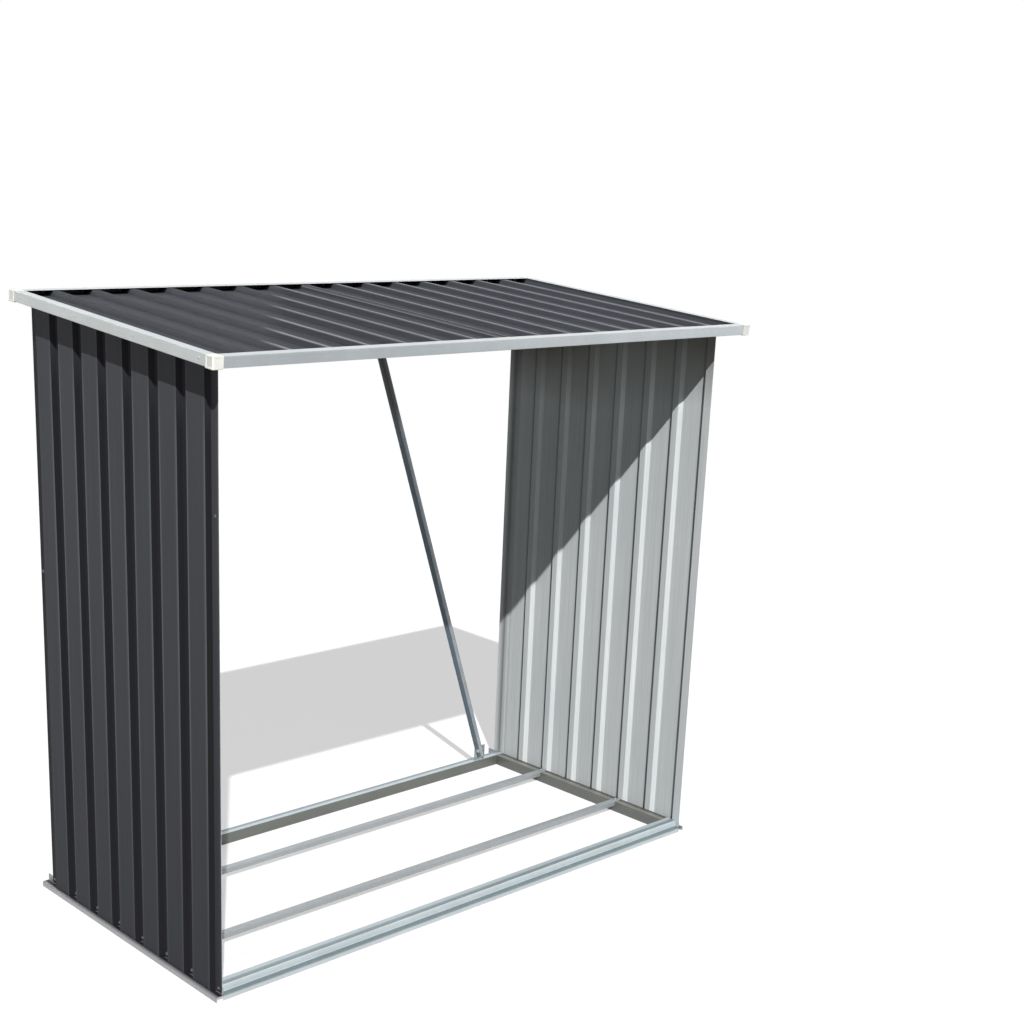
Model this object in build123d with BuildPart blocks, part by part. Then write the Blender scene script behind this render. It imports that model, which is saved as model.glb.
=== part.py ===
from build123d import *
from math import ceil, floor, hypot
import os

# Open-fronted log store: two ribbed steel walls on a rolled base frame, under a ribbed
# pent roof that rises to the back, in a frame of channels with a plastic cap at each corner.
# Millimetres. X runs along the front to the right, Y to the back, Z up from the floor.

# Overall sizes
store_width = 1638.0  # between the outer faces of the two walls
wall_depth = 774.0
eaves_height = 1439.0  # from the floor to the lower edge of the roof frame at the front
roof_pitch = 5.4  # degrees, rising to the back
front_overhang = 63.0
back_overhang = 3.0
side_overhang = 45.0

# Ribbed sheet, the same rolled form in the walls and the roof
sheet_gauge = 0.8
rib_pitch = 106.2
rib_top = 19.0
rib_flank = 9.0
rib_height = 11.0
sheet_bend = 2.0
edge_land = 4.0  # the narrowest flat strip left along an edge of a sheet
lap_rib_x = -13.5  # the rib where the right roof sheet laps over the left one
lap_stop = 7.0  # height above the valley where a lapped edge ends
lap_clearance = 0.1

# Roof frame channels
channel_gauge = 1.2
channel_height = 25.0
channel_top_flange = 27.0
side_bottom_flange = 13.0
cross_bottom_flange = 25.0
channel_bend = 2.5
sheet_end_gap = 1.5
flange_cope_gap = 0.3

# Corner caps
cap_wall = 1.3
cap_clearance = 0.2
cap_lap = 11.0
cap_corner_gap = 14.0  # from the roof's corner to the end of each channel
cap_corner_radius = 4.0
cap_edge_chamfer = 0.8
cap_panel_border = 4.0
cap_panel_depth = 0.5

# Base rails
rail_gauge = 1.2
rail_height = 31.5
rail_ledge_height = 13.5
rail_ledge_depth = 15.0
side_ledge_depth = 18.0
rail_top_flange = 30.0
rail_bend = 2.0
rail_end_stand = 2.0  # how far the base frame reaches past the walls' front and back edges
side_rail_tail = 22.0  # how far the side rails run on behind the back rail
rail_cope_gap = 0.3

# Floor bars
bar_gauge = 1.2
bar_width = 20.0
bar_drop = 14.0
bar_bend = 2.0
bar_tongue = 24.0
bar_spacing = 312.0

# Angles that join the walls to the roof
top_angle_gauge = 1.2
top_angle_leg = 25.0
top_angle_bend = 2.0
top_angle_inset = 5.0
wall_top_clearance = 0.3

# Diagonal brace in the open back, and its two brackets
brace_gauge = 1.5
brace_width = 19.0
brace_leg = 15.0
brace_bend = 2.0
brace_setback = 34.0  # from the walls' back edges to the brace
brace_foot_inset = 99.0  # from the inside of the right wall to the brace's foot
brace_spread = 517.0  # how far the brace's top stands to the left of its foot
brace_end_gap = 6.0
bracket_gauge = 1.5
bracket_width = 44.0
bracket_upright = 45.0
bracket_edge_gap = 2.0

# Places that follow from the sizes
wall_face = store_width / 2
groove_face = wall_face - rib_height
wall_inside = groove_face - sheet_gauge
pan_width = rib_pitch - rib_top - 2 * rib_flank
rib_reach = rib_top / 2 + rib_flank

slope = Vector(0, 1, 0).rotate(Axis.X, roof_pitch)
roof_up = Vector(0, 0, 1).rotate(Axis.X, roof_pitch)
roof_half = wall_face + side_overhang
roof_depth = front_overhang + wall_depth + back_overhang
roof_run = roof_depth / slope.Y

# The origin is midway between the front caps and the side rails' back ends
cap_proud = cap_wall + cap_clearance
cap_reach_forward = cap_proud * slope.Y - (channel_height + cap_proud - cap_edge_chamfer) * roof_up.Y
base_reach_back = front_overhang + wall_depth + rail_end_stand + side_rail_tail
eaves_y = (cap_reach_forward - base_reach_back) / 2
wall_front = eaves_y + front_overhang
wall_back = wall_front + wall_depth
wall_middle = (wall_front + wall_back) / 2

crest_rise = channel_height - channel_gauge
valley_rise = crest_rise - rib_height
valley_underside = valley_rise - sheet_gauge

rail_front = wall_front - rail_end_stand
rail_back = wall_back + rail_end_stand
brace_face = wall_back - brace_setback


def roof_point(x, run, rise):
    """A point of the roof: across, up the slope from the front lower edge, and square to it."""
    return Vector(x, eaves_y, eaves_height) + slope * run + roof_up * rise


def across_roof(run):
    """Plane square to the slope, with its x across the roof and its y square to the roof."""
    return Plane(origin=roof_point(0, run, 0), x_dir=(1, 0, 0), z_dir=-slope)


def along_roof(x):
    """Plane square to the front, with its x up the slope and its y square to the roof."""
    return Plane(origin=roof_point(x, 0, 0), x_dir=slope, z_dir=(1, 0, 0))


def across_store(x):
    """Upright plane square to the front, with its x to the back and its y up."""
    return Plane(origin=(x, 0, 0), x_dir=(0, 1, 0), z_dir=(1, 0, 0))


def bent_sheet(plane, points, gauge, bend, side):
    """Section of a bent sheet: one face along the points, rounded, with the gauge to one side."""
    with BuildSketch(plane) as section:
        with BuildLine():
            FilletPolyline(*points, radius=bend)
            offset(amount=gauge, side=side)
        make_face()
    return section.sketch


def ribbed_line(start, end, rib_centre, crest, low, high):
    """Face of a ribbed sheet from one edge to the other, with a rib at the given centre."""
    reach = crest / 2 + rib_flank
    corners = ((-reach, low), (-crest / 2, high), (crest / 2, high), (reach, low))
    ribs = range(floor((start - rib_centre) / rib_pitch), ceil((end - rib_centre) / rib_pitch) + 1)
    line = [(rib_centre + n * rib_pitch + step, level) for n in ribs for step, level in corners]
    line = [point for point in line if start + edge_land < point[0] < end - edge_land]
    line = [(start, line[0][1]), *line, (end, line[-1][1])]
    inner = [b for a, b, c in zip(line, line[1:], line[2:]) if not a[1] == b[1] == c[1]]
    return [line[0], *inner, line[-1]]


# Base frame: stepped rails with an outer lip, a ledge, an upright and a top flange
def rail_points(outer_edge, inward, ledge_depth):
    """Outer face of a base rail from its lip to its inner foot."""
    upright = outer_edge + inward * ledge_depth
    inner = upright + inward * rail_top_flange
    return [
        (outer_edge, 0),
        (outer_edge, rail_ledge_height),
        (upright, rail_ledge_height),
        (upright, rail_height),
        (inner, rail_height),
        (inner, 0),
    ]


rail_end = wall_inside - rail_gauge
side_rail_outer = wall_inside + side_ledge_depth
side_rail_back = rail_back + side_rail_tail
rail_start = across_store(-rail_end)

with BuildPart() as front_base_rail:
    front_points = rail_points(rail_front, 1, rail_ledge_depth)
    extrude(bent_sheet(rail_start, front_points, rail_gauge, rail_bend, Side.RIGHT), amount=2 * rail_end)

with BuildPart() as back_base_rail:
    back_points = rail_points(rail_back, -1, rail_ledge_depth)
    extrude(bent_sheet(rail_start, back_points, rail_gauge, rail_bend, Side.LEFT), amount=2 * rail_end)

with BuildPart() as left_base_rail:
    along_wall = Plane(origin=(0, rail_front, 0), x_dir=(1, 0, 0), z_dir=(0, -1, 0))
    side_points = rail_points(-side_rail_outer, 1, side_ledge_depth)
    extrude(
        bent_sheet(along_wall, side_points, rail_gauge, rail_bend, Side.RIGHT),
        amount=rail_front - side_rail_back,
    )
    # The inner flange is cut away where the front and back rails meet the side rail
    cope = rail_ledge_depth + rail_top_flange + rail_cope_gap
    with BuildSketch():
        for end, inward, length in ((rail_front, 1, cope), (side_rail_back, -1, cope + side_rail_tail)):
            with Locations((-rail_end + rail_top_flange / 2, end + inward * length / 2)):
                Rectangle(rail_top_flange, length)
    extrude(amount=rail_height, mode=Mode.SUBTRACT)

with BuildPart() as right_base_rail:
    mirror(left_base_rail.part, about=Plane.YZ)

# Two slim floor bars between the side rails, with a tongue at each end on the rail's flange
bar_top = rail_height + bar_gauge
side_rail_inner = wall_inside - rail_top_flange


def floor_bar_points(middle):
    """Outer face of a floor bar, an upturned channel."""
    return [
        (middle - bar_width / 2, bar_top - bar_drop),
        (middle - bar_width / 2, bar_top),
        (middle + bar_width / 2, bar_top),
        (middle + bar_width / 2, bar_top - bar_drop),
    ]


floor_bars = []
for bar_y in (wall_middle - bar_spacing / 2, wall_middle + bar_spacing / 2):
    with BuildPart() as floor_bar:
        bar_reach = side_rail_inner + bar_tongue
        extrude(
            bent_sheet(across_store(-bar_reach), floor_bar_points(bar_y), bar_gauge, bar_bend, Side.RIGHT),
            amount=2 * bar_reach,
        )
        with BuildSketch(Plane.XY.offset(bar_top - bar_drop)):
            with Locations((-bar_reach, bar_y), (bar_reach, bar_y)):
                Rectangle(2 * bar_tongue + 2 * rail_cope_gap, bar_width)
        extrude(amount=bar_drop - bar_gauge, mode=Mode.SUBTRACT)
    floor_bars.append(floor_bar)
front_floor_bar, rear_floor_bar = floor_bars

# Walls: wide pans outside, with narrow grooves between them and a flat strip at each edge
pan_count = floor((wall_depth - rib_top) / rib_pitch)
first_pan = wall_middle - (pan_count - 1) * rib_pitch / 2
roof_underside = Plane(
    origin=roof_point(0, 0, valley_underside - wall_top_clearance), x_dir=(1, 0, 0), z_dir=roof_up
)

with BuildPart() as left_wall_sheet:
    wall_line = ribbed_line(wall_front, wall_back, first_pan, pan_width, groove_face, wall_face)
    wall_points = [(-level, y) for y, level in wall_line]
    wall_foot = Plane.XY.offset(rail_ledge_height + rail_bend)
    extrude(
        bent_sheet(wall_foot, wall_points, sheet_gauge, sheet_bend, Side.RIGHT),
        amount=eaves_height + roof_depth,
    )
    split(bisect_by=roof_underside, keep=Keep.BOTTOM)

with BuildPart() as right_wall_sheet:
    mirror(left_wall_sheet.part, about=Plane.YZ)

# Angles inside the tops of the walls, under the roof sheets
angle_start = (front_overhang + top_angle_inset) / slope.Y
angle_length = (wall_depth - 2 * top_angle_inset) / slope.Y

with BuildPart() as left_wall_top_angle:
    angle_points = [
        (-wall_inside, valley_underside - top_angle_leg),
        (-wall_inside, valley_underside),
        (-wall_inside + top_angle_leg, valley_underside),
    ]
    extrude(
        bent_sheet(
            across_roof(angle_start), angle_points, top_angle_gauge, top_angle_bend, Side.RIGHT
        ),
        amount=-angle_length,
    )

with BuildPart() as right_wall_top_angle:
    mirror(left_wall_top_angle.part, about=Plane.YZ)

# Roof sheets: narrow ribs up the slope, lapped over one rib near the middle
sheet_edge = roof_half - channel_gauge - sheet_end_gap
sheet_start = channel_gauge + sheet_end_gap
sheet_length = roof_run - 2 * sheet_start
flank_length = hypot(rib_flank, rib_height)
lap_offset = sheet_gauge + lap_clearance
under_shift = lap_offset * flank_length / rib_height
stop_step = rib_flank * lap_stop / rib_height
under_step = rib_flank * (rib_height - lap_offset) / rib_height
half_pitch = rib_pitch / 2
under_foot = rib_reach - under_shift
under_crest = under_foot - under_step
under_rise = crest_rise - lap_offset

with BuildPart() as left_roof_sheet:
    left_line = ribbed_line(
        -sheet_edge, lap_rib_x - half_pitch, lap_rib_x, rib_top, valley_rise, crest_rise
    )
    left_line = [
        *left_line[:-1],
        (lap_rib_x - under_foot, valley_rise),
        (lap_rib_x - under_crest, under_rise),
        (lap_rib_x + under_crest, under_rise),
        (lap_rib_x + under_foot - stop_step, valley_rise + lap_stop),
    ]
    extrude(
        bent_sheet(across_roof(sheet_start), left_line, sheet_gauge, sheet_bend, Side.RIGHT),
        amount=-sheet_length,
    )

with BuildPart() as right_roof_sheet:
    right_line = ribbed_line(
        lap_rib_x + half_pitch, sheet_edge, lap_rib_x, rib_top, valley_rise, crest_rise
    )
    right_line = [
        (lap_rib_x - rib_reach + stop_step, valley_rise + lap_stop),
        (lap_rib_x - rib_top / 2, crest_rise),
        (lap_rib_x + rib_top / 2, crest_rise),
        (lap_rib_x + rib_reach, valley_rise),
        *right_line[1:],
    ]
    extrude(
        bent_sheet(across_roof(sheet_start), right_line, sheet_gauge, sheet_bend, Side.RIGHT),
        amount=-sheet_length,
    )


# Roof frame: a channel along each edge, open to the inside, that holds the sheets' ends
def channel_points(outer_edge, inward, bottom_flange):
    """Outer face of a roof channel from its bottom flange to its top flange."""
    return [
        (outer_edge + inward * bottom_flange, 0),
        (outer_edge, 0),
        (outer_edge, channel_height),
        (outer_edge + inward * channel_top_flange, channel_height),
    ]


cross_end = roof_half - cap_corner_gap
roof_floor = Plane(origin=roof_point(0, 0, 0), x_dir=(1, 0, 0), z_dir=roof_up)
flange_start = -cross_end - flange_cope_gap

with BuildPart() as front_roof_channel:
    extrude(
        bent_sheet(
            along_roof(-cross_end),
            channel_points(0, 1, cross_bottom_flange),
            channel_gauge,
            channel_bend,
            Side.RIGHT,
        ),
        amount=2 * cross_end,
    )

with BuildPart() as back_roof_channel:
    extrude(
        bent_sheet(
            along_roof(-cross_end),
            channel_points(roof_run, -1, cross_bottom_flange),
            channel_gauge,
            channel_bend,
            Side.LEFT,
        ),
        amount=2 * cross_end,
    )
    # The bottom flange is cut away over the walls and their top angles
    notch_reach = roof_half - wall_inside + top_angle_leg + wall_top_clearance
    with BuildSketch(roof_floor):
        for end in (-roof_half, roof_half):
            with Locations((end, roof_run - channel_bend - cross_bottom_flange / 2)):
                Rectangle(2 * notch_reach, cross_bottom_flange)
    extrude(amount=2 * channel_bend, both=True, mode=Mode.SUBTRACT)

with BuildPart() as left_roof_channel:
    extrude(
        bent_sheet(
            across_roof(cap_corner_gap),
            channel_points(-roof_half, 1, side_bottom_flange),
            channel_gauge,
            channel_bend,
            Side.RIGHT,
        ),
        amount=2 * cap_corner_gap - roof_run,
    )
    # The top flange is cut back where the front and back channels' flanges pass over the corner
    flange_cut = channel_top_flange + flange_cope_gap
    with BuildSketch(roof_floor.offset(channel_height)):
        for end, inward in ((0, 1), (roof_run, -1)):
            with Locations((flange_cut / 2 + flange_start, end + inward * flange_cut / 2)):
                Rectangle(flange_cut, flange_cut)
    extrude(amount=-channel_bend, mode=Mode.SUBTRACT)

with BuildPart() as right_roof_channel:
    mirror(left_roof_channel.part, about=Plane.YZ)

# Corner caps: hollow plastic corners over the channels' ends, with a sunk panel on each face
cap_reach = cap_corner_gap + cap_lap
cap_size = cap_reach + cap_proud
cap_height = channel_height + 2 * cap_proud
cap_middle = cap_size / 2 - cap_proud
cap_panel = (cap_size - 2 * cap_panel_border, cap_height - 2 * cap_panel_border)


def corner_cap(run_edge, inward):
    """A cap on the left side of the roof, where the channels meet at the given end."""
    base = Plane(origin=roof_point(-roof_half, run_edge, -cap_proud), x_dir=(1, 0, 0), z_dir=roof_up)
    with BuildPart(base) as cap:
        with Locations((cap_middle, inward * cap_middle, cap_height / 2)):
            Box(cap_size, cap_size, cap_height)
        uprights = cap.edges().filter_by(Axis((0, 0, 0), roof_up))
        to_inside = Axis((0, 0, 0), Vector(1, 0, 0) + slope * inward)
        fillet(uprights.sort_by(to_inside)[0], radius=cap_corner_radius)
        ends = cap.faces().filter_by(Plane(origin=(0, 0, 0), z_dir=roof_up))
        chamfer(ends.edges(), length=cap_edge_chamfer)
        hollow = cap_size - cap_wall
        with Locations(
            (hollow / 2 - cap_clearance, inward * (hollow / 2 - cap_clearance), cap_height / 2)
        ):
            Box(hollow, hollow, cap_height - 2 * cap_wall, mode=Mode.SUBTRACT)
        with Locations((-cap_proud, inward * cap_middle, cap_height / 2)):
            Box(2 * cap_panel_depth, *cap_panel, mode=Mode.SUBTRACT)
        with Locations((cap_middle, -inward * cap_proud, cap_height / 2)):
            Box(cap_panel[0], 2 * cap_panel_depth, cap_panel[1], mode=Mode.SUBTRACT)
    return cap


front_left_cap = corner_cap(0, 1)
back_left_cap = corner_cap(roof_run, -1)

with BuildPart() as front_right_cap:
    mirror(front_left_cap.part, about=Plane.YZ)

with BuildPart() as back_right_cap:
    mirror(back_left_cap.part, about=Plane.YZ)

# Diagonal brace: an angle from the back roof channel down to the back rail, between two brackets
brace_foot_x = wall_inside - brace_foot_inset
brace_top_x = brace_foot_x - brace_spread
roof_edge_over_brace = eaves_height + (brace_face - eaves_y) * slope.Z / slope.Y
foot_height = rail_height + bracket_gauge
brace_low = Vector(brace_foot_x, brace_face, foot_height)
brace_high = Vector(brace_top_x, brace_face, roof_edge_over_brace - bracket_gauge)
brace_line = brace_high - brace_low
brace_along = brace_line.normalized()
brace_across = Vector(brace_along.Z, 0, -brace_along.X)

with BuildPart() as diagonal_brace:
    brace_plane = Plane(
        origin=brace_low + brace_along * brace_end_gap, x_dir=brace_across, z_dir=brace_along
    )
    brace_points = [(-brace_width / 2, 0), (brace_width / 2, 0), (brace_width / 2, -brace_leg)]
    extrude(
        bent_sheet(brace_plane, brace_points, brace_gauge, brace_bend, Side.RIGHT),
        amount=brace_line.length - 2 * brace_end_gap,
    )

with BuildPart() as upper_brace_bracket:
    upper_reach = roof_point(0, roof_run - channel_gauge - bracket_edge_gap, 0)
    upper_points = [
        (brace_face, roof_edge_over_brace - bracket_upright),
        (brace_face, roof_edge_over_brace),
        (upper_reach.Y, upper_reach.Z),
    ]
    extrude(
        bent_sheet(
            across_store(brace_top_x - bracket_width / 2),
            upper_points,
            bracket_gauge,
            brace_bend,
            Side.RIGHT,
        ),
        amount=bracket_width,
    )

with BuildPart() as lower_brace_bracket:
    lower_points = [
        (brace_face, rail_height + bracket_upright),
        (brace_face, rail_height),
        (rail_back - rail_ledge_depth - bracket_edge_gap, rail_height),
    ]
    extrude(
        bent_sheet(
            across_store(brace_foot_x - bracket_width / 2),
            lower_points,
            bracket_gauge,
            brace_bend,
            Side.LEFT,
        ),
        amount=bracket_width,
    )

# Write one file for each piece
pieces = {
    "front_base_rail": front_base_rail,
    "back_base_rail": back_base_rail,
    "left_base_rail": left_base_rail,
    "right_base_rail": right_base_rail,
    "front_floor_bar": front_floor_bar,
    "rear_floor_bar": rear_floor_bar,
    "left_wall_sheet": left_wall_sheet,
    "right_wall_sheet": right_wall_sheet,
    "left_wall_top_angle": left_wall_top_angle,
    "right_wall_top_angle": right_wall_top_angle,
    "left_roof_sheet": left_roof_sheet,
    "right_roof_sheet": right_roof_sheet,
    "front_roof_channel": front_roof_channel,
    "back_roof_channel": back_roof_channel,
    "left_roof_channel": left_roof_channel,
    "right_roof_channel": right_roof_channel,
    "front_left_cap": front_left_cap,
    "front_right_cap": front_right_cap,
    "back_left_cap": back_left_cap,
    "back_right_cap": back_right_cap,
    "diagonal_brace": diagonal_brace,
    "upper_brace_bracket": upper_brace_bracket,
    "lower_brace_bracket": lower_brace_bracket,
}
os.makedirs("parts", exist_ok=True)
for name, piece in pieces.items():
    piece.part.label = name
    export_step(piece.part, f"parts/{name}.step")
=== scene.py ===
from math import cos, pi, radians, sin, tan

import bmesh
import bpy
from mathutils import Matrix, Vector


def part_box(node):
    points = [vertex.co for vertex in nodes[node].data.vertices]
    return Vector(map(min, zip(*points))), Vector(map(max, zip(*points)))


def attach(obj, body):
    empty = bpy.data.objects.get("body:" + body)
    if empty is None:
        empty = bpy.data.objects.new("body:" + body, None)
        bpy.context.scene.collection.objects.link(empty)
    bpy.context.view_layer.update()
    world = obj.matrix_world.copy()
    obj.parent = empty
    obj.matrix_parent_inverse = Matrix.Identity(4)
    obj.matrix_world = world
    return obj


# Open-fronted log store: ribbed steel walls and roof, galvanised rails and channels, plastic corner caps.
# Metres. X runs along the front to the right, Y to the back, Z up from the floor.
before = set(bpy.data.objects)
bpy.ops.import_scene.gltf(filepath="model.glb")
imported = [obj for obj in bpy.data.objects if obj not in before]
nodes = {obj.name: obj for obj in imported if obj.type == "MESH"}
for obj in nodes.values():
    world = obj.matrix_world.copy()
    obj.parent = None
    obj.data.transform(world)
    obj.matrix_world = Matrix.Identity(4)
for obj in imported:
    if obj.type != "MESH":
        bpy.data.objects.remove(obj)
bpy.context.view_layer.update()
body = "root"
scene = bpy.context.scene
scene.view_settings.view_transform = "Standard"

# Directions
LEFT, RIGHT, FRONT, BACK, UP = (-1, 0, 0), (1, 0, 0), (0, -1, 0), (0, 1, 0), (0, 0, 1)
SIDES = (("left", LEFT), ("right", RIGHT))
ROOF_PITCH = radians(5.4)
ROOF_UP = Vector((0, -sin(ROOF_PITCH), cos(ROOF_PITCH)))
ROOF_RISE = tan(ROOF_PITCH)  # rise of the roof for each metre towards the back
KEY_TRAVEL = (0.72, 1.0, -1.175)  # the way the light of the key sun travels

# Rolled sheet of the walls and the roof
RIB_PITCH = 0.1062
RIB_HEIGHT = 0.011
PAN_COUNT = 7
PAN_WIDTH = 0.0692
CREST_WIDTH = 0.019
LAP_RIB = -0.0135  # middle of the roof rib where the right sheet laps over the left one
LAP_EDGE = -0.0245  # just inside the cut edge of the right sheet, on that rib

# Places on the walls
wall_low, wall_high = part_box("right_wall_sheet")
# Middle of the pan next to the front
FIRST_PAN = (wall_low.y + wall_high.y - (PAN_COUNT - 1) * RIB_PITCH) / 2
PAN_FRONT = FIRST_PAN - PAN_WIDTH / 2
GROOVES = [FIRST_PAN + (number + 0.5) * RIB_PITCH for number in range(PAN_COUNT - 1)]
GROOVE_FACE = wall_high.x - RIB_HEIGHT  # outer face of the grooves and the edge strips
# Painted shade lies along a wall's back edge strip outside, and in a crease along it inside
SHADED_STRIP = 0.370  # where the dark strip along a wall's back edge begins
REAR_CREASE = 0.384  # where that strip meets the last pan's flank, inside the wall

# Places on the roof
ROOF_HEIGHT = 1.479  # height of the side channels' lower edge over the middle of the store
SIDE_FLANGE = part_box("right_roof_channel")[0].x  # inner edge of the side channels' top flange
FASCIA_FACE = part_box("right_roof_channel")[1].x  # outer face of the side channels
BACK_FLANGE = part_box("back_roof_channel")[0].y  # front edge of the back channel's top flange

# Base rails
LEDGE_HEIGHT = 0.0135
CROSS_LEDGE, SIDE_LEDGE = 0.015, 0.018  # widths of the ledge: front and back rails, side rails


# Camera: the viewpoint, turn and lens that were fitted to the photograph
def add_camera():
    place = Vector((-2.6764, -3.0734, 1.7981))
    yaw, down, roll = radians(41.4071), radians(15.7177), radians(1.458)
    ahead = Vector((sin(yaw) * cos(down), cos(yaw) * cos(down), -sin(down)))
    level_right = Vector((cos(yaw), -sin(yaw), 0))
    level_up = level_right.cross(ahead)
    right = level_right * cos(roll) + level_up * sin(roll)
    up = level_up * cos(roll) - level_right * sin(roll)
    data = bpy.data.cameras.new("camera")
    data.sensor_width = 36
    data.lens = 55.942
    data.shift_x = 0.10717
    data.shift_y = 0.11959
    camera = bpy.data.objects.new("camera", data)
    turn = Matrix((right, up, -ahead)).transposed().to_4x4()
    camera.matrix_world = Matrix.Translation(place) @ turn
    scene.collection.objects.link(camera)
    scene.camera = camera


# Node trees
class Tree:
    """Short names for the nodes of a material or of the world."""

    def __init__(self, owner, output="ShaderNodeOutputMaterial"):
        self.owner = owner
        owner.use_nodes = True
        self.tree = owner.node_tree
        self.tree.nodes.clear()
        self.out = self.add(output)

    def add(self, kind, **settings):
        node = self.tree.nodes.new(kind)
        for key, value in settings.items():
            setattr(node, key, value)
        return node

    def join(self, source, target):
        if isinstance(source, bpy.types.NodeSocket):
            self.tree.links.new(source, target)
        else:
            target.default_value = source

    def math(self, operation, *values):
        node = self.add("ShaderNodeMath", operation=operation)
        for value, socket in zip(values, node.inputs):
            self.join(value, socket)
        return node.outputs[0]

    def plus(self, first, second):
        return self.math("ADD", first, second)

    def minus(self, first, second):
        return self.math("SUBTRACT", first, second)

    def times(self, first, second):
        return self.math("MULTIPLY", first, second)

    def most(self, first, second):
        return self.math("MAXIMUM", first, second)

    def least(self, first, second):
        return self.math("MINIMUM", first, second)

    def size(self, value):
        return self.math("ABSOLUTE", value)

    def above(self, value, limit):
        """1 above the limit, 0 elsewhere."""
        return self.math("GREATER_THAN", value, limit)

    def below(self, value, limit):
        """1 below the limit, 0 elsewhere."""
        return self.math("LESS_THAN", value, limit)

    def spread(self, value, low, high, to_low=0.0, to_high=1.0):
        """Goes from to_low, where the value is low, to to_high, where it is high, and no further."""
        node = self.add("ShaderNodeMapRange", clamp=True)
        for source, socket in zip((value, low, high, to_low, to_high), node.inputs):
            self.join(source, socket)
        return node.outputs[0]

    def fade(self, value, low, high):
        """1 up to low, falling to 0 at high."""
        return self.spread(value, low, high, 1.0, 0.0)

    def near(self, value, middle, reach):
        """1 at the middle, falling to 0 at the reach on both sides."""
        return self.fade(self.size(self.minus(value, middle)), 0.0, reach)

    def past(self, value, start, length):
        """How far a value lies past the last of the repeats, of one length, that run on from the start."""
        above_zero = self.plus(value, 10 * length - start)
        return self.math("MODULO", above_zero, length)

    def mix(self, factor, first, second, blend="MIX"):
        node = self.add("ShaderNodeMix", data_type="RGBA", blend_type=blend)
        for value, socket in ((factor, node.inputs[0]), (first, node.inputs[6]), (second, node.inputs[7])):
            self.join(value, socket)
        return node.outputs[2]

    def lay(self, base, layers):
        """Tones over a base. A layer is a noise, where it begins and is full, its share and its tone."""
        for noise, begins, full, share, tone in layers:
            base = self.mix(self.spread(noise, begins, full, 0.0, share), base, tone)
        return base

    def object_position(self):
        return self.add("ShaderNodeTexCoord").outputs["Object"]

    def place(self, scale):
        """Object coordinates, stretched by a scale for each axis, in repeats a metre."""
        mapping = self.add("ShaderNodeMapping")
        mapping.inputs["Scale"].default_value = scale
        self.join(self.object_position(), mapping.inputs["Vector"])
        return mapping.outputs[0]

    def position(self, axis):
        """One of the object's coordinates, in metres."""
        split = self.add("ShaderNodeSeparateXYZ")
        self.join(self.object_position(), split.inputs[0])
        return split.outputs[axis]

    def facing(self, direction):
        """How far a surface faces along a direction of the object."""
        coordinates = self.add("ShaderNodeTexCoord")
        dot = self.add("ShaderNodeVectorMath", operation="DOT_PRODUCT")
        self.join(coordinates.outputs["Normal"], dot.inputs[0])
        dot.inputs[1].default_value = direction
        return dot.outputs["Value"]

    def noise(self, scale, detail=2.0, roughness=0.5):
        node = self.add("ShaderNodeTexNoise")
        self.join(self.place(scale), node.inputs["Vector"])
        node.inputs["Scale"].default_value = 1.0
        node.inputs["Detail"].default_value = detail
        node.inputs["Roughness"].default_value = roughness
        return node.outputs["Fac"]

    def bump(self, height, strength, distance):
        node = self.add("ShaderNodeBump")
        node.inputs["Strength"].default_value = strength
        node.inputs["Distance"].default_value = distance
        self.join(height, node.inputs["Height"])
        return node.outputs[0]

    def principled(self, **inputs):
        """Ends the tree in a shader and gives its material."""
        shader = self.add("ShaderNodeBsdfPrincipled")
        for key, value in inputs.items():
            self.join(value, shader.inputs[key.replace("_", " ")])
        self.join(shader.outputs[0], self.out.inputs["Surface"])
        return self.owner


def material_tree(name):
    return Tree(bpy.data.materials.new(name))


def rgb(code):
    """Linear colour of a display colour written as six hex digits."""
    parts = [int(code[i : i + 2], 16) / 255 for i in (0, 2, 4)]
    return (*(v / 12.92 if v <= 0.04045 else ((v + 0.055) / 1.055) ** 2.4 for v in parts), 1.0)


def grey(level):
    return (level, level, level, 1.0)


def even(repeats):
    """Repeats a metre of a pattern that is the same along every axis."""
    return (repeats, repeats, repeats)


def drawn_out(across, along, axis):
    """Repeats a metre of a pattern that is drawn out along one axis."""
    return [along if number == axis else across for number in range(3)]


# Coated sheet: anthracite on its outer face, pale grey on its inner face
def sheet_noises(t, along):
    """Faint rolling streaks, hairlines and clouds."""
    streak = t.noise(drawn_out(260.0, 2.2, along), detail=3.0, roughness=0.6)
    hair = t.noise(drawn_out(900.0, 14.0, along), detail=1.0)
    cloud = t.noise(even(3.0), detail=3.0)
    return streak, hair, cloud


def pale_coat(t, noises, flank):
    """The inner coat, with painted light that makes the flanks facing the front lighter."""
    streak, hair, cloud = noises
    layers = [
        (streak, 0.35, 0.70, 1.0, rgb("B6BABB")),
        (cloud, 0.35, 0.70, 0.6, rgb("B4BABC")),
        (hair, 0.50, 0.75, 0.35, rgb("D0D2D1")),
    ]
    coat = t.lay(rgb("C5C8C8"), layers)
    faces_front = t.spread(t.facing(FRONT), 0.40, 0.70)
    return t.mix(t.times(faces_front, flank), coat, rgb("EEF2F5"))


def finish_sheet(t, outside, outer, inner, streak, gloss):
    """Joins the outer and the inner coat in one satin shader."""
    return t.principled(
        Base_Color=t.mix(outside, inner, outer),
        Roughness=t.spread(streak, 0.3, 0.7, 0.38, 0.52),
        Specular_IOR_Level=gloss,
        Normal=t.bump(t.noise(even(700.0), detail=1.0), 0.08, 0.0004),
    )


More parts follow.
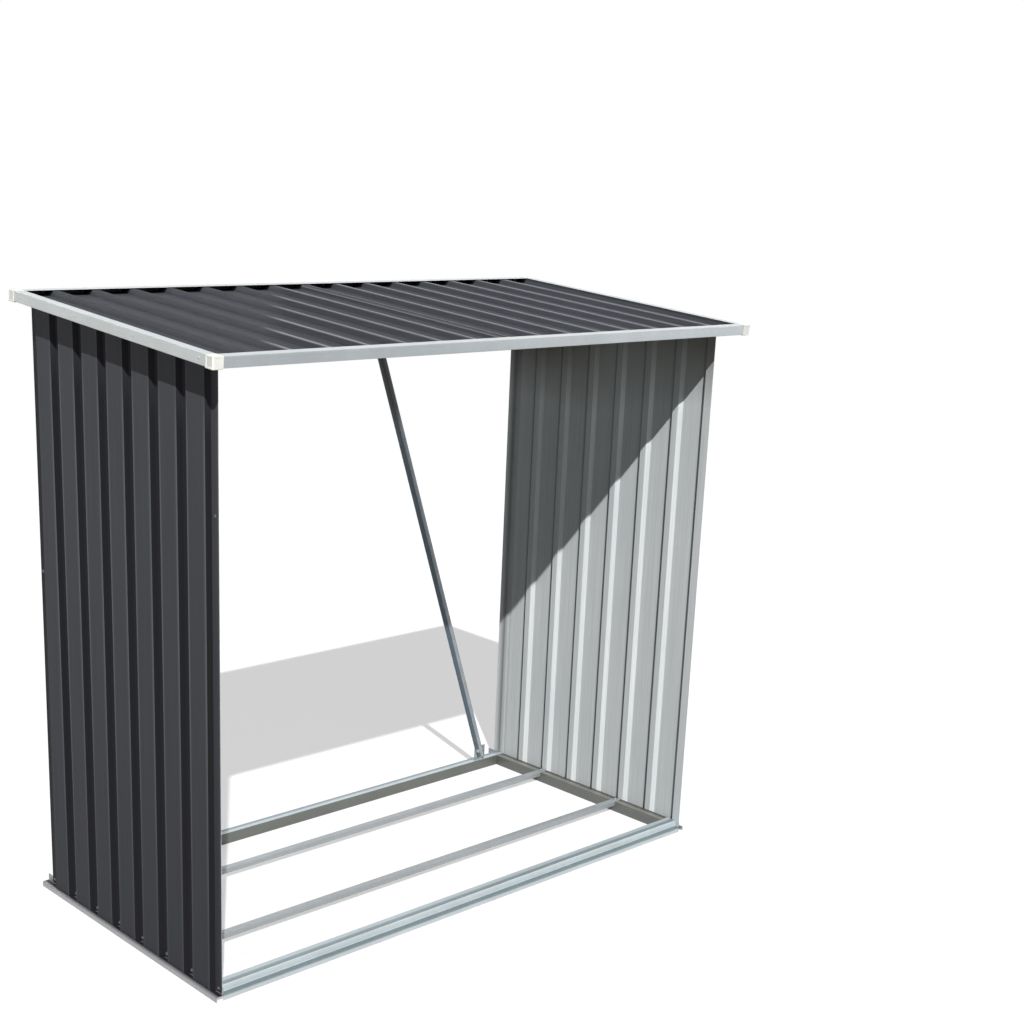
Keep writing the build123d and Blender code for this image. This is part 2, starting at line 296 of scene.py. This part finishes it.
def wall_outside(t, noises, facing, back, height, behind, under):
    """Anthracite, with painted shade on the flanks, the grooves and the back edge strip, and a painted
    highlight along each pan's edges.
    """
    streak, hair, cloud = noises
    layers = [
        (streak, 0.35, 0.70, 0.55, rgb("3C3D41")),
        (hair, 0.55, 0.80, 0.22, rgb("525357")),
        (cloud, 0.40, 0.70, 0.35, rgb("3A3B40")),
        (t.fade(height, 0.0, 1.3), 0.0, 1.0, 1.0, rgb("313237")),
    ]
    coat = t.lay(rgb("444549"), layers)
    # clear is 0 in the roof's cast shadow and 1 below it
    clear = t.spread(under, 0.09, 0.17)
    # Painted highlight along the pans' bends and the wall's front edge, weaker low down and in the roof's
    # shadow
    bend_highlight = t.most(t.fade(behind, 0.0, 0.009), t.near(behind, PAN_WIDTH - 0.002, 0.005))
    bend_highlight = t.most(bend_highlight, t.near(back, wall_low.y + 0.001, 0.004))
    bend_highlight = t.times(bend_highlight, t.spread(facing, 0.80, 0.97))
    bend_highlight = t.times(bend_highlight, t.spread(height, 0.1, 0.8, 0.25, 0.9))
    bend_highlight = t.times(bend_highlight, t.spread(clear, 0.0, 1.0, 0.25, 1.0))
    coat = t.mix(bend_highlight, coat, rgb("626468"))
    # Painted shade on the flanks, the grooves and the back edge strip, a little lighter in the roof's shadow
    groove = t.times(t.above(behind, PAN_WIDTH + 0.004), t.above(back, PAN_FRONT))
    recess_shade = t.most(t.fade(facing, 0.74, 0.86), t.times(groove, 0.8))
    recess_shade = t.most(recess_shade, t.above(back, SHADED_STRIP))
    return t.mix(recess_shade, coat, t.mix(clear, rgb("26262A"), rgb("1C1C1F")))


def wall_inside(t, noises, back, height, behind, under):
    """Pale, with painted shade under the roof, most of it towards the back, painted light on the flanks, and
    a painted shade crease beside each pan.
    """
    # Painted light: the flanks are lightest above a line that falls to the back as steeply as the edge of
    # the roof's shade
    fall = -KEY_TRAVEL[2] / KEY_TRAVEL[1]
    high = t.spread(t.plus(height, t.times(back, fall)), 0.90, 1.10)
    flank = t.times(t.spread(back, -0.30, 0.20, 0.80, 0.08), t.spread(under, 0.05, 0.28, 0.15, 1.0))
    coat = pale_coat(t, noises, t.plus(t.times(high, flank), 0.09))
    # Painted shade under the roof, warm in tone, reaching further down towards the back
    under_roof_shade = t.spread(under, 0.04, t.spread(back, -0.30, 0.10, 0.21, 0.32), 0.72, 0.0)
    under_roof_shade = t.least(t.times(under_roof_shade, t.spread(back, 0.0, 0.26, 1.0, 2.0)), 0.9)
    coat = t.mix(under_roof_shade, coat, rgb("605B4B"))
    # Painted shade in a crease beside each pan, and along the back edge strip
    crease_shade = t.times(t.fade(behind, 0.004, 0.011), t.spread(back, -0.30, 0.30, 0.35, 0.60))
    crease_shade = t.most(crease_shade, t.times(t.near(back, REAR_CREASE, 0.018), 0.75))
    return t.mix(crease_shade, coat, rgb("404244"))


def wall_coat(name, outward):
    t = material_tree(name)
    noises = sheet_noises(t, 2)
    facing = t.facing(outward)
    back, height = t.position(1), t.position(2)
    behind = t.past(back, PAN_FRONT, RIB_PITCH)
    under = t.minus(t.plus(t.times(back, ROOF_RISE), ROOF_HEIGHT), height)
    outer = wall_outside(t, noises, facing, back, height, behind, under)
    inner = wall_inside(t, noises, back, height, behind, under)
    return finish_sheet(t, t.above(facing, 0.12), outer, inner, noises[0], gloss=0.06)


def shade_ribs(t, coat, across, facing, highlight_side):
    """Painted reflection on the valleys, painted shade in a fold at the foot of each rib and on the crests,
    and past the border painted shade on the flanks.
    """
    crest_start = RIB_PITCH - CREST_WIDTH
    beside = t.past(across, LAP_RIB + CREST_WIDTH / 2, RIB_PITCH)
    left_of_highlights = t.fade(highlight_side, 0.0, 1.0)
    fold_shade = t.near(beside, 0.0800, 0.0065)
    valley_reflection = t.minus(t.times(t.spread(beside, 0.025, 0.055), t.below(beside, crest_start)), fold_shade)
    coat = t.mix(t.times(t.times(valley_reflection, left_of_highlights), 0.34), coat, rgb("4E5055"))
    crest_fold_shade = t.most(t.times(t.above(beside, crest_start), 0.60), t.times(fold_shade, 0.12))
    coat = t.mix(t.times(crest_fold_shade, left_of_highlights), coat, rgb("26262A"))
    flank = t.fade(facing, 0.72, 0.88)
    return t.mix(t.times(flank, t.times(highlight_side, 0.40)), coat, rgb("26262A"))


def crest_line(t, across):
    """The painted highlight line, a little left of each crest's right edge, and wider near the border."""
    middle = LAP_RIB + CREST_WIDTH / 2 - 0.0045
    beside = t.past(across, middle - RIB_PITCH / 2, RIB_PITCH)
    away = t.size(t.minus(beside, RIB_PITCH / 2))
    return t.fade(t.times(away, t.spread(across, -0.42, -0.34, 0.6, 1.0)), 0.0025, 0.0065)


def roof_coat(name, has_cut_edge):
    """Anthracite on top, with a painted highlight along each crest to the right of a slanting border."""
    t = material_tree(name)
    noises = sheet_noises(t, 1)
    streak, hair, cloud = noises
    facing = t.facing(ROOF_UP)
    across, back = t.position(0), t.position(1)
    slant = t.minus(across, t.times(back, 0.79))
    light = t.spread(slant, -0.8, 0.8)
    highlight_side = t.spread(slant, -0.42, -0.36)
    layers = [
        (streak, 0.30, 0.70, 0.8, t.mix(light, rgb("333539"), rgb("42444A"))),
        (hair, 0.50, 0.80, 0.25, rgb("54565B")),
        (cloud, 0.40, 0.70, 0.25, rgb("383A3F")),
    ]
    coat = t.lay(t.mix(light, rgb("3B3D42"), rgb("505258")), layers)
    coat = shade_ribs(t, coat, across, facing, highlight_side)
    line = crest_line(t, across)
    outside = t.above(facing, 0.12)
    if has_cut_edge:
        # The lap: painted shade in the gap on the rib's left side, and a pale cut edge
        outside = t.most(outside, t.below(across, LAP_EDGE + 0.001))
        line = t.times(line, t.above(across, LAP_EDGE + 0.0165))
        gap_shade = t.fade(t.size(t.minus(across, LAP_EDGE + 0.0095)), 0.0040, 0.0070)
        coat = t.mix(t.times(gap_shade, 0.9), coat, rgb("1C1C20"))
        line = t.most(line, t.times(t.near(across, LAP_EDGE - 0.001, 0.0030), 0.6))
    # Painted highlight along the crests, faint left of the slanting border
    coat = t.mix(t.times(line, t.spread(highlight_side, 0.0, 1.0, 0.05, 0.9)), coat, rgb("828286"))
    # Painted shade beside the side channels' flanges, and a nearly black painted shadow under the back
    # channel's
    flange_shade = t.spread(t.size(across), SIDE_FLANGE - 0.014, SIDE_FLANGE - 0.009)
    coat = t.mix(flange_shade, coat, rgb("1A1A1E"))
    coat = t.mix(t.spread(back, BACK_FLANGE - 0.010, BACK_FLANGE - 0.004), coat, rgb("08080A"))
    inner = pale_coat(t, noises, 0.15)
    return finish_sheet(t, outside, coat, inner, streak, gloss=0.010)


# Galvanised strip: faint rolling lines and a fine spangle
def zinc(name, along, paint):
    """Zinc coat of a strip rolled along an axis; paint gives the tone of each face."""
    t = material_tree(name)
    lines = t.noise(drawn_out(420.0, 3.0, along), detail=2.0)
    cloud = t.noise(even(9.0), detail=4.0, roughness=0.6)
    spangle = t.add("ShaderNodeTexVoronoi")
    spangle.inputs["Scale"].default_value = 1.0
    t.join(t.place(even(150.0)), spangle.inputs["Vector"])
    flake = t.add("ShaderNodeSeparateColor")
    t.join(spangle.outputs["Color"], flake.inputs[0])
    mottle_and_shade = t.mix(t.spread(cloud, 0.30, 0.70), grey(0.88), grey(1.0))
    mottle_and_shade = t.mix(t.times(flake.outputs[0], 0.30), mottle_and_shade, grey(0.84))
    mottle_and_shade = t.mix(t.spread(lines, 0.5, 0.8, 0.0, 0.45), mottle_and_shade, grey(0.80))
    return t.principled(
        Base_Color=t.mix(1.0, paint(t), mottle_and_shade, blend="MULTIPLY"),
        Metallic=0.45,
        Roughness=t.spread(flake.outputs[1], 0.0, 1.0, 0.36, 0.52),
        Normal=t.bump(t.noise(even(500.0), detail=2.0), 0.06, 0.0005),
    )


def plain_zinc(name, along, code):
    return zinc(name, along, lambda t: rgb(code))


def channel_zinc(name, along, outward, left_face, right_face, inside):
    """Roof channel: its fascia, with painted light on the top flange, a painted highlight at the lower bend,
    and painted shade on the top bend, the underside and the inside.
    """

    def paint(t):
        up = t.facing(ROOF_UP)
        tone = t.mix(t.spread(t.position(0), -0.4, 0.4), rgb(left_face), rgb(right_face))
        # Tones by facing: painted shade on the top bend and the underside, painted light on the top flange,
        # a painted highlight at the lower bend
        tone = t.mix(t.spread(up, 0.12, 0.60), tone, rgb("A3A9AB"))  # top bend
        tone = t.mix(t.spread(up, 0.75, 0.95), tone, rgb("C4C9CB"))  # top flange
        tone = t.mix(t.spread(up, -0.10, -0.40), tone, rgb("CBD0D1"))  # lower bend
        tone = t.mix(t.spread(up, -0.80, -0.95), tone, rgb("7C8183"))  # underside
        # Painted shade inside
        return t.mix(t.spread(t.facing(outward), -0.30, -0.60), tone, rgb(inside))

    return zinc(name, along, paint)


# Tones of a base rail's faces, from its foot to the inner edge of its flange. The ledge and the flange bend
# are painted shade, and the side rails are painted darker all over, as painted shade
CROSS_RAIL = {
    "lip": "C4CBCE",
    "ledge edge": "7F8C90",
    "ledge corner": "78868A",
    "upright": "CDD6D9",
    "flange bend": "8A979C",
    "flange": "BCC7CB",
}
SIDE_RAIL_IN_SHADE = {
    "lip": "A8A8AA",
    "ledge edge": "8A8A8C",
    "ledge corner": "2A2B2E",
    "upright": "97979A",
    "flange bend": "55554F",
    "flange": "8C8B84",
}


def rail_zinc(name, node, outward, ledge_width, tones):
    """Base rail: each face in its own tone, with painted shade on the ledge, the flange bend, the inner side
    and the underside.
    """
    side = 0 if outward[0] else 1
    edge = max(abs(corner[side]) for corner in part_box(node))
    upright = edge - ledge_width

    def paint(t):
        colour = {part: rgb(code) for part, code in tones.items()}
        up, out = t.facing(UP), t.facing(outward)
        height = t.position(2)
        reach = t.times(t.position(side), outward[side])
        # Painted shade from the ledge up over the top of the lip
        tone = t.mix(t.spread(height, 0.0090, 0.0125), colour["lip"], colour["ledge edge"])
        tone = t.mix(t.spread(height, LEDGE_HEIGHT, LEDGE_HEIGHT + 0.001), tone, colour["upright"])
        ledge = t.spread(reach, edge - 0.008, edge - 0.005)
        ledge = t.mix(ledge, colour["ledge corner"], colour["ledge edge"])
        flange = t.spread(reach, upright - 0.017, upright - 0.011)
        flange = t.mix(flange, colour["flange"], colour["flange bend"])
        top = t.mix(t.spread(height, 0.020, 0.022), ledge, flange)
        tone = t.mix(t.spread(up, 0.55, 0.85), tone, top)
        # Painted shade on the inner side
        turned_in = t.spread(out, -0.20, -0.60)
        inner = t.times(turned_in, t.fade(reach, upright - 0.006, upright - 0.002))
        tone = t.mix(inner, tone, rgb("727470"))
        if side == 0:
            # Painted light on the front end of a side rail's inner face, which continues the front rail's
            # upright
            end = t.times(turned_in, t.fade(t.position(1), -0.350, -0.346))
            tone = t.mix(end, tone, rgb("C0C8CB"))
        return t.mix(t.spread(up, -0.20, -0.60), tone, rgb("4A4E50"))

    return zinc(name, 1 - side, paint)


def brace_zinc():
    """The brace: painted shade near its top, and painted light lower down, bluer, with a bright leg there.
    """

    def paint(t):
        # Painted shade above, painted light below; the leg facing left is painted lighter still
        low = t.fade(t.position(2), 1.12, 1.20)
        face = t.mix(low, rgb("58595A"), rgb("5E6A73"))
        leg_light = t.mix(low, rgb("A0A2A2"), rgb("F6FAFC"))
        return t.mix(t.spread(t.facing(LEFT), 0.30, 0.80), face, leg_light)

    return zinc("brace_zinc", 2, paint)


def cap_plastic():
    """Off-white moulded plastic with a shallow panel in the side faces, painted greyer as painted shade."""
    t = material_tree("cap_plastic")
    cloud = t.noise(even(60.0), detail=4.0, roughness=0.6)
    tone = t.mix(t.spread(cloud, 0.40, 0.75), rgb("EEEEE8"), rgb("E0E0D8"))
    front, rear = (sum(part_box(name), Vector()) / 2 for name in ("front_left_cap", "back_left_cap"))
    back, height = t.position(1), t.position(2)
    at_rear = t.above(back, 0.0)
    behind = t.minus(back, t.spread(at_rear, 0.0, 1.0, front.y, rear.y))
    above = t.minus(height, t.spread(at_rear, 0.0, 1.0, front.z, rear.z))
    above = t.minus(above, t.times(behind, ROOF_RISE))
    away = t.most(t.size(behind), t.size(above))
    sideways = t.spread(t.size(t.facing(RIGHT)), 0.90, 0.97)
    # Painted shade in the shallow panel
    panel = t.times(t.fade(away, 0.0085, 0.0100), sideways)
    tone = t.mix(panel, tone, rgb("D6D7D1"))
    # Painted shade on the top faces and towards the right
    mottle_and_shade = t.most(t.spread(t.facing(ROOF_UP), 0.30, 0.90), t.spread(t.position(0), -0.5, 0.5))
    return t.principled(
        Base_Color=t.mix(t.times(mottle_and_shade, 0.8), tone, rgb("CFD1CC")),
        Roughness=t.spread(cloud, 0.3, 0.7, 0.38, 0.52),
        Normal=t.bump(t.minus(t.times(cloud, 0.2), panel), 0.20, 0.0006),
    )


def dress():
    """Each CAD node gets the finish of what it is."""
    # Painted shade for the inside of the roof channels, nearly black in the back one
    shade, deep_shade = "4A4E50", "050505"
    bars = plain_zinc("bar_zinc", 0, "A4A9AC")
    angles = plain_zinc("angle_zinc", 1, "7C8184")
    brackets = plain_zinc("bracket_zinc", 2, "9CA1A4")
    finish = {
        "front_floor_bar": bars,
        "rear_floor_bar": bars,
        "diagonal_brace": brace_zinc(),
        "upper_brace_bracket": brackets,
        "lower_brace_bracket": brackets,
    }
    for side, outward in SIDES:
        channel = channel_zinc(side + "_channel_zinc", 1, outward, "C8CCCA", "C8CCCA", shade)
        rail = side + "_base_rail"
        finish[side + "_wall_sheet"] = wall_coat(side + "_wall_coat", outward)
        finish[side + "_roof_sheet"] = roof_coat(side + "_roof_coat", side == "right")
        finish[side + "_roof_channel"] = channel
        finish[side + "_wall_top_angle"] = angles
        finish[rail] = rail_zinc(side + "_rail_zinc", rail, outward, SIDE_LEDGE, SIDE_RAIL_IN_SHADE)
    for end, outward, inside in (("front", FRONT, shade), ("back", BACK, deep_shade)):
        channel = channel_zinc(end + "_channel_zinc", 0, outward, "ABB1B4", "BFC5C8", inside)
        rail = end + "_base_rail"
        finish[end + "_roof_channel"] = channel
        finish[rail] = rail_zinc(end + "_rail_zinc", rail, outward, CROSS_LEDGE, CROSS_RAIL)
    cap = cap_plastic()
    for name, node in nodes.items():
        for slot in node.material_slots:
            slot.material = finish.get(name, cap)


# Fixings: turned heads on the faces that they hold
# A ring has its radius at the corners and between them, its height above the face and its finish's number
SCREW_RINGS = [
    (0.0048, 0.0048, -0.0001, 1),
    (0.0048, 0.0048, 0.0006, 1),
    (0.0037, 0.0037, 0.0009, 1),
    (0.0036, 0.0036, 0.0017, 0),
    (0.0031, 0.0031, 0.0024, 0),
    (0.0022, 0.0022, 0.0027, 0),
    (0.0018, 0.0006, 0.0027, 0),
    (0.0012, 0.0004, 0.0016, 0),
]
RIVET_RINGS = [
    (0.0032, 0.0032, -0.0001, 0),
    (0.0031, 0.0031, 0.0005, 0),
    (0.0024, 0.0024, 0.0011, 0),
    (0.0010, 0.0010, 0.0014, 0),
]
BOLT_RINGS = [
    (0.0062, 0.0062, -0.0001, 0),
    (0.0062, 0.0062, 0.0010, 0),
    (0.0056, 0.0049, 0.0010, 0),
    (0.0056, 0.0049, 0.0042, 0),
    (0.0047, 0.0043, 0.0048, 0),
]
ROUND_HEAD, HEX_HEAD = 4, 6  # corners of the recess or the outline
STEPS = 4  # steps of a ring for each corner

# Places of the fixings
EDGE_STRIPS = (-0.353, 0.397)  # middles of a wall's front and back edge strips
FOOT_SCREWS = 0.0265
TOP_SCREWS = 1.4773  # height of the top row where it passes over the middle of the store
STRIP_SCREWS = (1.123, 0.857)  # heights of the middle screws on the front and the back edge strips
RIVET_LINE = 1.4939  # height of the fascia rivets over the middle of the store
RIVET_COUNT = 4
RIVET_START, RIVET_SPACING = -0.380, 0.245
BAR_SCREW_INSET = 0.0122  # from a floor bar's end
BRACE_GAUGE = 0.0015  # of the brace and its brackets
BRACE_BOLTS = ((0.6988, 0.060), (0.2005, 1.490))  # across and up


def fixing_finish(name, code, metallic, roughness):
    t = material_tree(name)
    grain = t.noise(even(1500.0), detail=2.0)
    return t.principled(
        Base_Color=t.mix(t.spread(grain, 0.35, 0.70, 0.0, 0.35), rgb(code), grey(0.25)),
        Metallic=metallic,
        Roughness=roughness,
        Normal=t.bump(grain, 0.10, 0.0002),
    )


def add_head(shape, rings, place, outward, corners):
    """A head that stands on a face: bands between its rings, and a cover."""
    on_face = Matrix.Translation(place) @ Vector(outward).to_track_quat("Z", "Y").to_matrix().to_4x4()
    steps = STEPS * corners
    loops = []
    for at_corner, between, height, _ in rings:
        loop = []
        for step in range(steps):
            turn = 2 * pi * step / steps
            share = abs(2 * (step * corners % steps) / steps - 1)
            radius = between + (at_corner - between) * share
            loop.append(shape.verts.new(on_face @ Vector((radius * cos(turn), radius * sin(turn), height))))
        loops.append(loop)
    for low, high, ring in zip(loops, loops[1:], rings[1:]):
        for step in range(steps):
            after = (step + 1) % steps
            face = shape.faces.new((low[step], low[after], high[after], high[step]))
            face.material_index = ring[3]
    cover = shape.faces.new(loops[-1])
    cover.material_index = rings[-1][3]


def add_fixings(name, rings, corners, places, finishes):
    """One piece of equal heads. Each place is a point on a face and the direction out of the face."""
    shape = bmesh.new()
    for point, outward in places:
        add_head(shape, rings, Vector(point), outward, corners)
    mesh = bpy.data.meshes.new(name)
    shape.to_mesh(mesh)
    shape.free()
    for finish in finishes:
        mesh.materials.append(finish)
    piece = bpy.data.objects.new(name, mesh)
    scene.collection.objects.link(piece)
    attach(piece, body)


def add_side_fixings(side, outward, painted, rubber, coated):
    """The screws of a wall, and the rivets of the fascia over it."""
    wall_face, fascia_face = outward[0] * GROOVE_FACE, outward[0] * FASCIA_FACE
    screws = []
    for y in (EDGE_STRIPS[0], *GROOVES, EDGE_STRIPS[1]):
        screws += [((wall_face, y, z), outward) for z in (FOOT_SCREWS, TOP_SCREWS + y * ROOF_RISE)]
    screws += [((wall_face, y, z), outward) for y, z in zip(EDGE_STRIPS, STRIP_SCREWS)]
    add_fixings(side + "_wall_screws", SCREW_RINGS, ROUND_HEAD, screws, (painted, rubber))
    rivets = []
    for number in range(RIVET_COUNT):
        y = RIVET_START + number * RIVET_SPACING
        rivets.append(((fascia_face, y, RIVET_LINE + y * ROOF_RISE), outward))
    add_fixings(side + "_fascia_rivets", RIVET_RINGS, ROUND_HEAD, rivets, (coated,))


def add_all_fixings():
    steel = fixing_finish("fixing_steel", "B4B8BA", 0.6, 0.38)
    coated = fixing_finish("rivet_zinc", "BFC4C4", 0.45, 0.45)
    painted = fixing_finish("fixing_paint", "3C3D41", 0.0, 0.50)
    rubber = fixing_finish("fixing_rubber", "1E1F22", 0.0, 0.6)
    for side, outward in SIDES:
        add_side_fixings(side, outward, painted, rubber, coated)
    bar_screws = []
    for bar in ("front_floor_bar", "rear_floor_bar"):
        low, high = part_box(bar)
        for x in (low.x + BAR_SCREW_INSET, high.x - BAR_SCREW_INSET):
            bar_screws.append(((x, (low.y + high.y) / 2, high.z), UP))
    add_fixings("floor_bar_screws", SCREW_RINGS, ROUND_HEAD, bar_screws, (steel, rubber))
    brace_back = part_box("diagonal_brace")[1].y
    bolts = []
    for outward, y in ((FRONT, brace_back - BRACE_GAUGE), (BACK, brace_back + BRACE_GAUGE)):
        bolts += [((x, y, z), outward) for x, z in BRACE_BOLTS]
    add_fixings("brace_bolts", BOLT_RINGS, HEX_HEAD, bolts, (steel,))


# Studio: a wide pale floor, an even white surround, a sun-like key and a soft lamp for each other side
SUNS = [  # name, the way the light travels, strength and width in degrees
    ("key", KEY_TRAVEL, 1.5, 0.6),
    ("front_fill", (0.05, 1.0, -0.06), 0.15, 25),
    ("left_fill", (1.0, 0.0, -0.12), 0.09, 8),
    ("right_fill", (-1.0, -0.25, -0.30), 0.4, 12),
    ("back_fill", (-0.1, -1.0, -0.35), 0.3, 12),
]
FLOOR_RADIUS = 16.0


def seen_directly(t):
    """1 for rays from the camera, or by way of metal or glass."""
    path = t.add("ShaderNodeLightPath")
    seen = t.most(path.outputs["Is Camera Ray"], path.outputs["Is Glossy Ray"])
    return t.most(seen, path.outputs["Is Transmission Ray"])


def floor_finish():
    """Pale floor that keeps the shadow and turns white with the distance."""
    t = material_tree("studio_floor")
    seen = seen_directly(t)
    distance = t.add("ShaderNodeVectorMath", operation="LENGTH")
    t.join(t.object_position(), distance.inputs[0])
    glow_share = t.spread(distance.outputs["Value"], 2.5, 9.0, 0.5, 1.0)
    diffuse = t.add("ShaderNodeBsdfDiffuse")
    t.join(t.mix(seen, grey(0.20), grey(0.85)), diffuse.inputs["Color"])
    glow = t.add("ShaderNodeEmission")
    mixed = t.add("ShaderNodeMixShader")
    t.join(t.times(seen, glow_share), mixed.inputs[0])
    t.join(diffuse.outputs[0], mixed.inputs[1])
    t.join(glow.outputs[0], mixed.inputs[2])
    t.join(mixed.outputs[0], t.out.inputs["Surface"])
    return t.owner


def add_floor():
    mesh = bpy.data.meshes.new("studio_floor")
    shape = bmesh.new()
    bmesh.ops.create_circle(shape, cap_ends=True, segments=96, radius=FLOOR_RADIUS)
    shape.to_mesh(mesh)
    shape.free()
    mesh.materials.append(floor_finish())
    floor = bpy.data.objects.new("studio_floor", mesh)
    scene.collection.objects.link(floor)


def add_world():
    """White where it is seen, and dim as a light."""
    t = Tree(bpy.data.worlds.new("studio"), "ShaderNodeOutputWorld")
    sky = t.add("ShaderNodeBackground")
    sky.inputs["Color"].default_value = grey(1.0)
    t.join(t.spread(seen_directly(t), 0.0, 1.0, 0.09, 1.0), sky.inputs["Strength"])
    t.join(sky.outputs[0], t.out.inputs["Surface"])
    scene.world = t.owner


def add_sun(name, travel, strength, width):
    lamp = bpy.data.lights.new(name, "SUN")
    lamp.energy = strength * pi
    lamp.angle = radians(width)
    light = bpy.data.objects.new(name, lamp)
    light.rotation_mode = "QUATERNION"
    light.rotation_quaternion = Vector(travel).to_track_quat("-Z", "Y")
    scene.collection.objects.link(light)


add_camera()
add_floor()
add_world()
for sun in SUNS:
    add_sun(*sun)
dress()
add_all_fixings()
